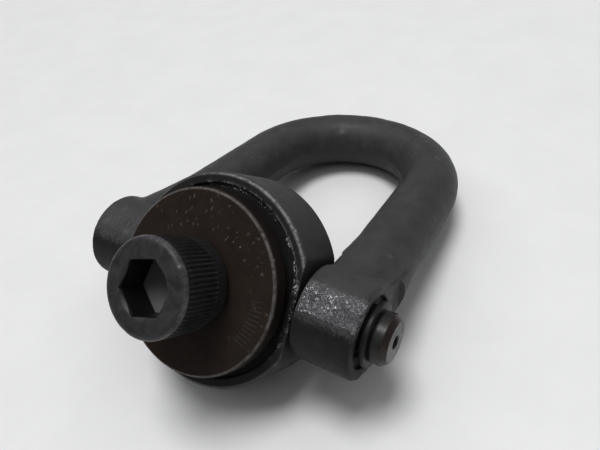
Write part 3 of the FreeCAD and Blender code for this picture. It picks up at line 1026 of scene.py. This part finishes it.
def eye_barrels(f, colour, rough, heights):
    """Painted shade on the barrels, a sparkling patch ground on the left one with painted glints, rusty outer
    rims, and spot faces with painted shade.
    """
    height = f.math("SUBTRACT", f.z, PIN_AXIS_Z)
    wander = f.times(f.math("SUBTRACT", f.noise(0.45, 4.0, 0.7), 0.5), 0.3)
    angle = f.math("ADD", f.math("ARCTAN2", height, f.y), wander)
    near_axis = f.step(f.radius(PIN_AXIS_Z), 14.2, 13.0)
    on_eye = f.times(near_axis, f.step(f.absolute(f.x), EYE_INNER_X - 1, EYE_INNER_X + 1))
    # Painted shade on the barrels' side away from the light.
    from_middle = f.absolute(f.math("SUBTRACT", angle, math.radians(SHADED_MIDDLE_DEG)))
    shaded_side = f.turn_step(from_middle, *SHADED_REACH_DEG)
    colour = f.mix(f.times(f.times(shaded_side, on_eye), 0.8), colour, EYE_BARREL_PAINTED_SHADE)
    after = f.turn_step(angle, *PATCH_START_DEG)
    before = f.turn_step(angle, *PATCH_END_DEG)
    patch = f.times(f.times(after, before), f.times(on_eye, f.step(f.x, 0.0, -1.0)))
    glitter = f.step(f.noise(2.2, 3.0, 0.7, 0.8), 0.48, 0.66)
    dull = f.step(f.noise(0.2, 3.0, 0.6, 0.5), 0.6, 0.4)
    glints = f.times(f.step(f.noise(1.5, 3.0, 0.75, 0.6), 0.57, 0.63), f.step(f.noise(0.16, 1.0), 0.47, 0.58))
    ground = f.mix(glitter, GROUND_DARK, GROUND_LIGHT)
    ground = f.mix(f.times(dull, 0.5), ground, GROUND_DULL)
    ground = f.mix(glints, ground, GROUND_GLINT)
    smear = f.turn_step(angle, *SMEAR_START_DEG)
    smear = f.times(smear, f.step(f.noise(1.2, 4.0, 0.7), 0.4, 0.6))
    colour = f.mix(f.times(f.times(smear, before), f.times(on_eye, 0.5)), colour, SMEARED_STEEL)
    colour = f.mix(patch, colour, ground)
    rough = f.math("SUBTRACT", rough, f.times(patch, 0.2))
    f.feed(f.surface.inputs["Metallic"], f.times(patch, 0.5))
    rim = f.near(f.absolute(f.x), EYE_OUTER_X, 0.6)
    rim = f.times(rim, f.step(f.radius(PIN_AXIS_Z), 14.5, 13.2))
    rim = f.times(rim, f.step(f.noise(0.8, 4.0, 0.7), 0.42, 0.62))
    colour = f.mix(f.times(rim, 0.4), colour, EYE_RIM_RUST)
    # Painted shade on the spot faces beyond the eyes' barrels.
    spot = f.times(f.near(f.absolute(f.x), EYE_OUTER_X, 0.5), f.step(f.radius(PIN_AXIS_Z), 12.4, 12.9))
    colour = f.mix(f.times(spot, 0.5), colour, SPOT_FACE_PAINTED_SHADE)
    relief = f.times(f.noise(1.3, 4.0, 0.75, 0.9), patch)
    scale = f.noise(0.9, 4.0, 0.6)
    return colour, rough, heights + [(relief, 0.6), (scale, 0.07)]


def pin_extra(f, colour, rough, heights):
    """Rust on the end's chamfer, a paler, streaky end face, and turning marks round the pin."""
    out = f.absolute(f.x)
    reach = f.radius(PIN_AXIS_Z)
    tip = f.step(out, PIN_HIGH.x - 1.7, PIN_HIGH.x - 1.1)
    chamfer = f.times(tip, f.step(reach, 5.0, 5.35))
    ragged = f.step(f.noise(0.9, 4.0, 0.7), 0.3, 0.6)
    colour = f.mix(f.times(chamfer, 0.9), colour, CHAMFER_OIL)
    colour = f.mix(f.times(f.times(chamfer, ragged), 0.55), colour, CHAMFER_RUST)
    face = f.times(f.step(out, PIN_HIGH.x - 0.3, PIN_HIGH.x - 0.1), f.step(reach, 5.35, 5.1))
    streaks = f.step(f.noise(0.7, 4.0, 0.7, 1.0), 0.35, 0.65)
    colour = f.mix(f.times(face, 0.9), colour, f.mix(streaks, PIN_FACE_DARK, PIN_FACE_LIGHT))
    return colour, rough, heights + [(f.bands(out, 4.0), 0.015)]


SCREW_STEEL = steel(
    "black_oxide_screw",
    dark=(0.054, 0.054, 0.0555),
    light=(0.076, 0.076, 0.0775),
    bare=(0.3, 0.3, 0.31),
    roughness=0.38,
    metallic=0.1,
    specular=0.25,
    edge=both(
        ring_edge(HEAD_R - 0.4, HEAD_TOP - 1.0, 0.9, 0.3),
        ring_edge(BAND_R - 0.1, HEAD_BOTTOM + 0.3, 0.6, 0.25),
    ),
    rub=(0.25, 0.6),
    extra=socket_inside,
)
WASHER_STEEL = steel(
    "brown_oxide_washer",
    dark=(0.0335, 0.0265, 0.0238),
    light=(0.047, 0.035, 0.0292),
    bare=(0.3, 0.29, 0.285),
    roughness=0.44,
    specular=0.12,
    # The light line along the top edge is partly edge wear and partly a painted highlight.
    edge=ring_edge(WASHER_HIGH.x - 0.45, WASHER_HIGH.z - 0.2, 0.5, 0.5),
    rub=(0.2, 0.6),
    extra=washer_extra,
)
BODY_STEEL = steel(
    "scuffed_body",
    dark=(0.0506, 0.0506, 0.0514),
    light=(0.0731, 0.0731, 0.0739),
    bare=(0.402, 0.402, 0.412),
    roughness=0.46,
    specular=0.16,
    edge=rubbed_and_highlit_body_edge,
    rub=(0.25, 0.6),
    extra=face_shade_and_specks,
    wear_gain=1.6,
)
FORGED_STEEL = steel(
    "forged_bail_steel",
    dark=(0.058, 0.058, 0.0585),
    light=(0.08, 0.08, 0.0805),
    bare=(0.19, 0.19, 0.19),
    roughness=0.48,
    specular=0.3,
    extra=eye_barrels,
    wear_gain=0.5,
)
PIN_STEEL = steel(
    "oiled_pin",
    dark=(0.024, 0.0235, 0.023),
    light=(0.038, 0.037, 0.036),
    bare=(0.28, 0.28, 0.28),
    roughness=0.32,
    specular=0.42,
    extra=pin_extra,
)
SPRING_STEEL = steel(
    "phosphated_spring",
    dark=(0.018, 0.018, 0.019),
    light=(0.03, 0.03, 0.031),
    bare=(0.28, 0.28, 0.29),
    roughness=0.36,
    specular=0.3,
)
BUSHING_STEEL = steel(
    "brown_oxide_bushing",
    dark=(0.0437, 0.0366, 0.0329),
    light=(0.0669, 0.0539, 0.0472),
    bare=(0.276, 0.254, 0.242),
    roughness=0.45,
    metallic=0.1,
    specular=0.2,
    edge=ring_edge(FLANGE_R - 0.4, 0.4, 1.0, 0.5),
    extra=rust_brown,
)


def put(piece, material, body, slot, *nodes):
    piece.data.materials.clear()
    piece.data.materials.append(material)
    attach(piece, body)
    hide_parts(*nodes)


put(make_bolt_head(), SCREW_STEEL, "bolt", "screw_steel", "mounting_bolt")
put(make_bolt_thread(), SCREW_STEEL, "bolt", "screw_steel", "mounting_bolt")
put(make_captive_ring(), SPRING_STEEL, "bolt", "spring_steel", "bolt_captive_ring")
put(make_load_washer(), WASHER_STEEL, "bushing", "washer_steel", "load_washer")
put(make_flange_bushing(), BUSHING_STEEL, "bushing", "washer_steel", "flange_bushing")
put(make_swivel_body(), BODY_STEEL, "swivel", "body_steel", "swivel_body")
for side_name, side in SIDES:
    pin = make_load_pin(f"pin_{side_name}", side)
    put(pin, PIN_STEEL, "swivel", "pin_steel", f"load_pin_{side_name}")
    ring = make_retaining_ring(f"snap_ring_{side_name}", side)
    put(ring, SPRING_STEEL, "swivel", "spring_steel", f"pin_retaining_ring_{side_name}")
    roll = make_roll_pin(f"spring_pin_{side_name}", side)
    put(roll, SPRING_STEEL, "swivel", "spring_steel", f"roll_pin_{side_name}")
put(make_bail(), FORGED_STEEL, "bail", "forged_steel", "forged_bail")


# Camera, floor and light.

CAMERA_PLACE = Vector((-78.44, -36.02, 135.15)) * MM
CAMERA_VIEW = Vector((0.4514, 0.1207, -0.8841)).normalized()
CAMERA_UP = Vector((0.2746, -0.9615, 0.0090))
CAMERA_LENS = 32.32
SENSOR_WIDTH = 36.0
# The loose ring lies level on its crown and the body's rim: the direction down to the table.
FLOOR_DOWN = Vector((0, 0.743, -0.669)).normalized()
FLOOR_HALF_SIZE = 3.0
TABLE_DARK = (0.815, 0.815, 0.815)
TABLE_LIGHT = (0.835, 0.835, 0.835)
# Each light's lean is how far it stands from straight over the table, to the camera's left or away from it.
LAMP_LEAN_LEFT = 0.07
LAMP_LEAN_BACK = 0.05
LAMP_SPREAD_DEG = 24
LAMP_STRENGTH = 1.75
CEILING_LEAN_BACK = 0.15
CEILING_SPREAD_DEG = 110
CEILING_STRENGTH = 1.1
BACKDROP_COLOUR = (0.8, 0.8, 0.81, 1.0)
AMBIENT_COLOUR = (0.93, 0.95, 1.0, 1.0)
AMBIENT_STRENGTH = 0.13
DISPLAY_GAMMA = 0.8

right = CAMERA_VIEW.cross(CAMERA_UP).normalized()
up = right.cross(CAMERA_VIEW)
camera = bpy.data.objects.new("camera", bpy.data.cameras.new("camera"))
camera.data.lens = CAMERA_LENS
camera.data.sensor_width = SENSOR_WIDTH
camera.data.clip_start = 0.01
camera_turn = Matrix((right, up, -CAMERA_VIEW)).transposed().to_4x4()
camera.matrix_world = Matrix.Translation(CAMERA_PLACE) @ camera_turn
bpy.context.scene.collection.objects.link(camera)
bpy.context.scene.camera = camera


def lowest_point():
    """How far down the frame reaches along FLOOR_DOWN."""
    reach = []
    for node in frame["nodes"].values():
        reach += [vertex.co.dot(FLOOR_DOWN) for vertex in node.data.vertices]
    return max(reach)


def make_floor():
    """A pale table top that is seen from above only."""
    flat = FLOOR_DOWN.orthogonal().normalized()
    other = FLOOR_DOWN.cross(flat)
    centre = FLOOR_DOWN * lowest_point()
    bm = bmesh.new()
    for a, b in ((-1, -1), (1, -1), (1, 1), (-1, 1)):
        bm.verts.new(centre + (flat * a + other * b) * FLOOR_HALF_SIZE)
    face = bm.faces.new(bm.verts)
    face.normal_update()
    if face.normal.dot(FLOOR_DOWN) > 0:
        bmesh.ops.reverse_faces(bm, faces=[face])
    mesh = bpy.data.meshes.new("table_top")
    bm.to_mesh(mesh)
    bm.free()
    floor = bpy.data.objects.new("table_top", mesh)
    bpy.context.scene.collection.objects.link(floor)
    f = Finish("pale_table")
    mottle = f.step(f.noise(0.05, 4.0, 0.6), 0.3, 0.7)
    f.feed(f.surface.inputs["Base Color"], f.mix(mottle, TABLE_DARK, TABLE_LIGHT))
    f.surface.inputs["Roughness"].default_value = 0.55
    clear = f.node("ShaderNodeBsdfTransparent")
    choice = f.node("ShaderNodeMixShader")
    f.feed(choice.inputs[0], f.node("ShaderNodeNewGeometry").outputs["Backfacing"])
    f.feed(choice.inputs[1], f.surface.outputs[0])
    f.feed(choice.inputs[2], clear.outputs[0])
    f.feed(f.tree.nodes["Material Output"].inputs["Surface"], choice.outputs[0])
    mesh.materials.append(f.material)


def soft_sun(name, direction, spread_deg, strength):
    """Even soft light from a wide patch of the studio's walls or ceiling."""
    light = bpy.data.lights.new(name, "SUN")
    light.angle = math.radians(spread_deg)
    light.energy = strength
    place = bpy.data.objects.new(name, light)
    place.rotation_mode = "QUATERNION"
    place.rotation_quaternion = direction.normalized().to_track_quat("Z", "Y")
    bpy.context.scene.collection.objects.link(place)


make_floor()
floor_up = -FLOOR_DOWN
backwards = (CAMERA_VIEW - floor_up * CAMERA_VIEW.dot(floor_up)).normalized()
leftwards = floor_up.cross(backwards)
lamp_side = floor_up + leftwards * LAMP_LEAN_LEFT + backwards * LAMP_LEAN_BACK
soft_sun("lamp", lamp_side, LAMP_SPREAD_DEG, LAMP_STRENGTH)
soft_sun("ceiling", floor_up + backwards * CEILING_LEAN_BACK, CEILING_SPREAD_DEG, CEILING_STRENGTH)

world = bpy.data.worlds.new("studio")
world.use_nodes = True
world_nodes = world.node_tree.nodes
backdrop = world_nodes["Background"]
backdrop.inputs["Color"].default_value = BACKDROP_COLOUR
dim = world_nodes.new("ShaderNodeBackground")
dim.inputs["Color"].default_value = AMBIENT_COLOUR
dim.inputs["Strength"].default_value = AMBIENT_STRENGTH
seen = world_nodes.new("ShaderNodeMixShader")
world.node_tree.links.new(world_nodes.new("ShaderNodeLightPath").outputs["Is Camera Ray"], seen.inputs[0])
world.node_tree.links.new(dim.outputs[0], seen.inputs[1])
world.node_tree.links.new(backdrop.outputs[0], seen.inputs[2])
world.node_tree.links.new(seen.outputs[0], world_nodes["World Output"].inputs["Surface"])
bpy.context.scene.world = world
bpy.context.scene.view_settings.view_transform = "Standard"
bpy.context.scene.view_settings.gamma = DISPLAY_GAMMA
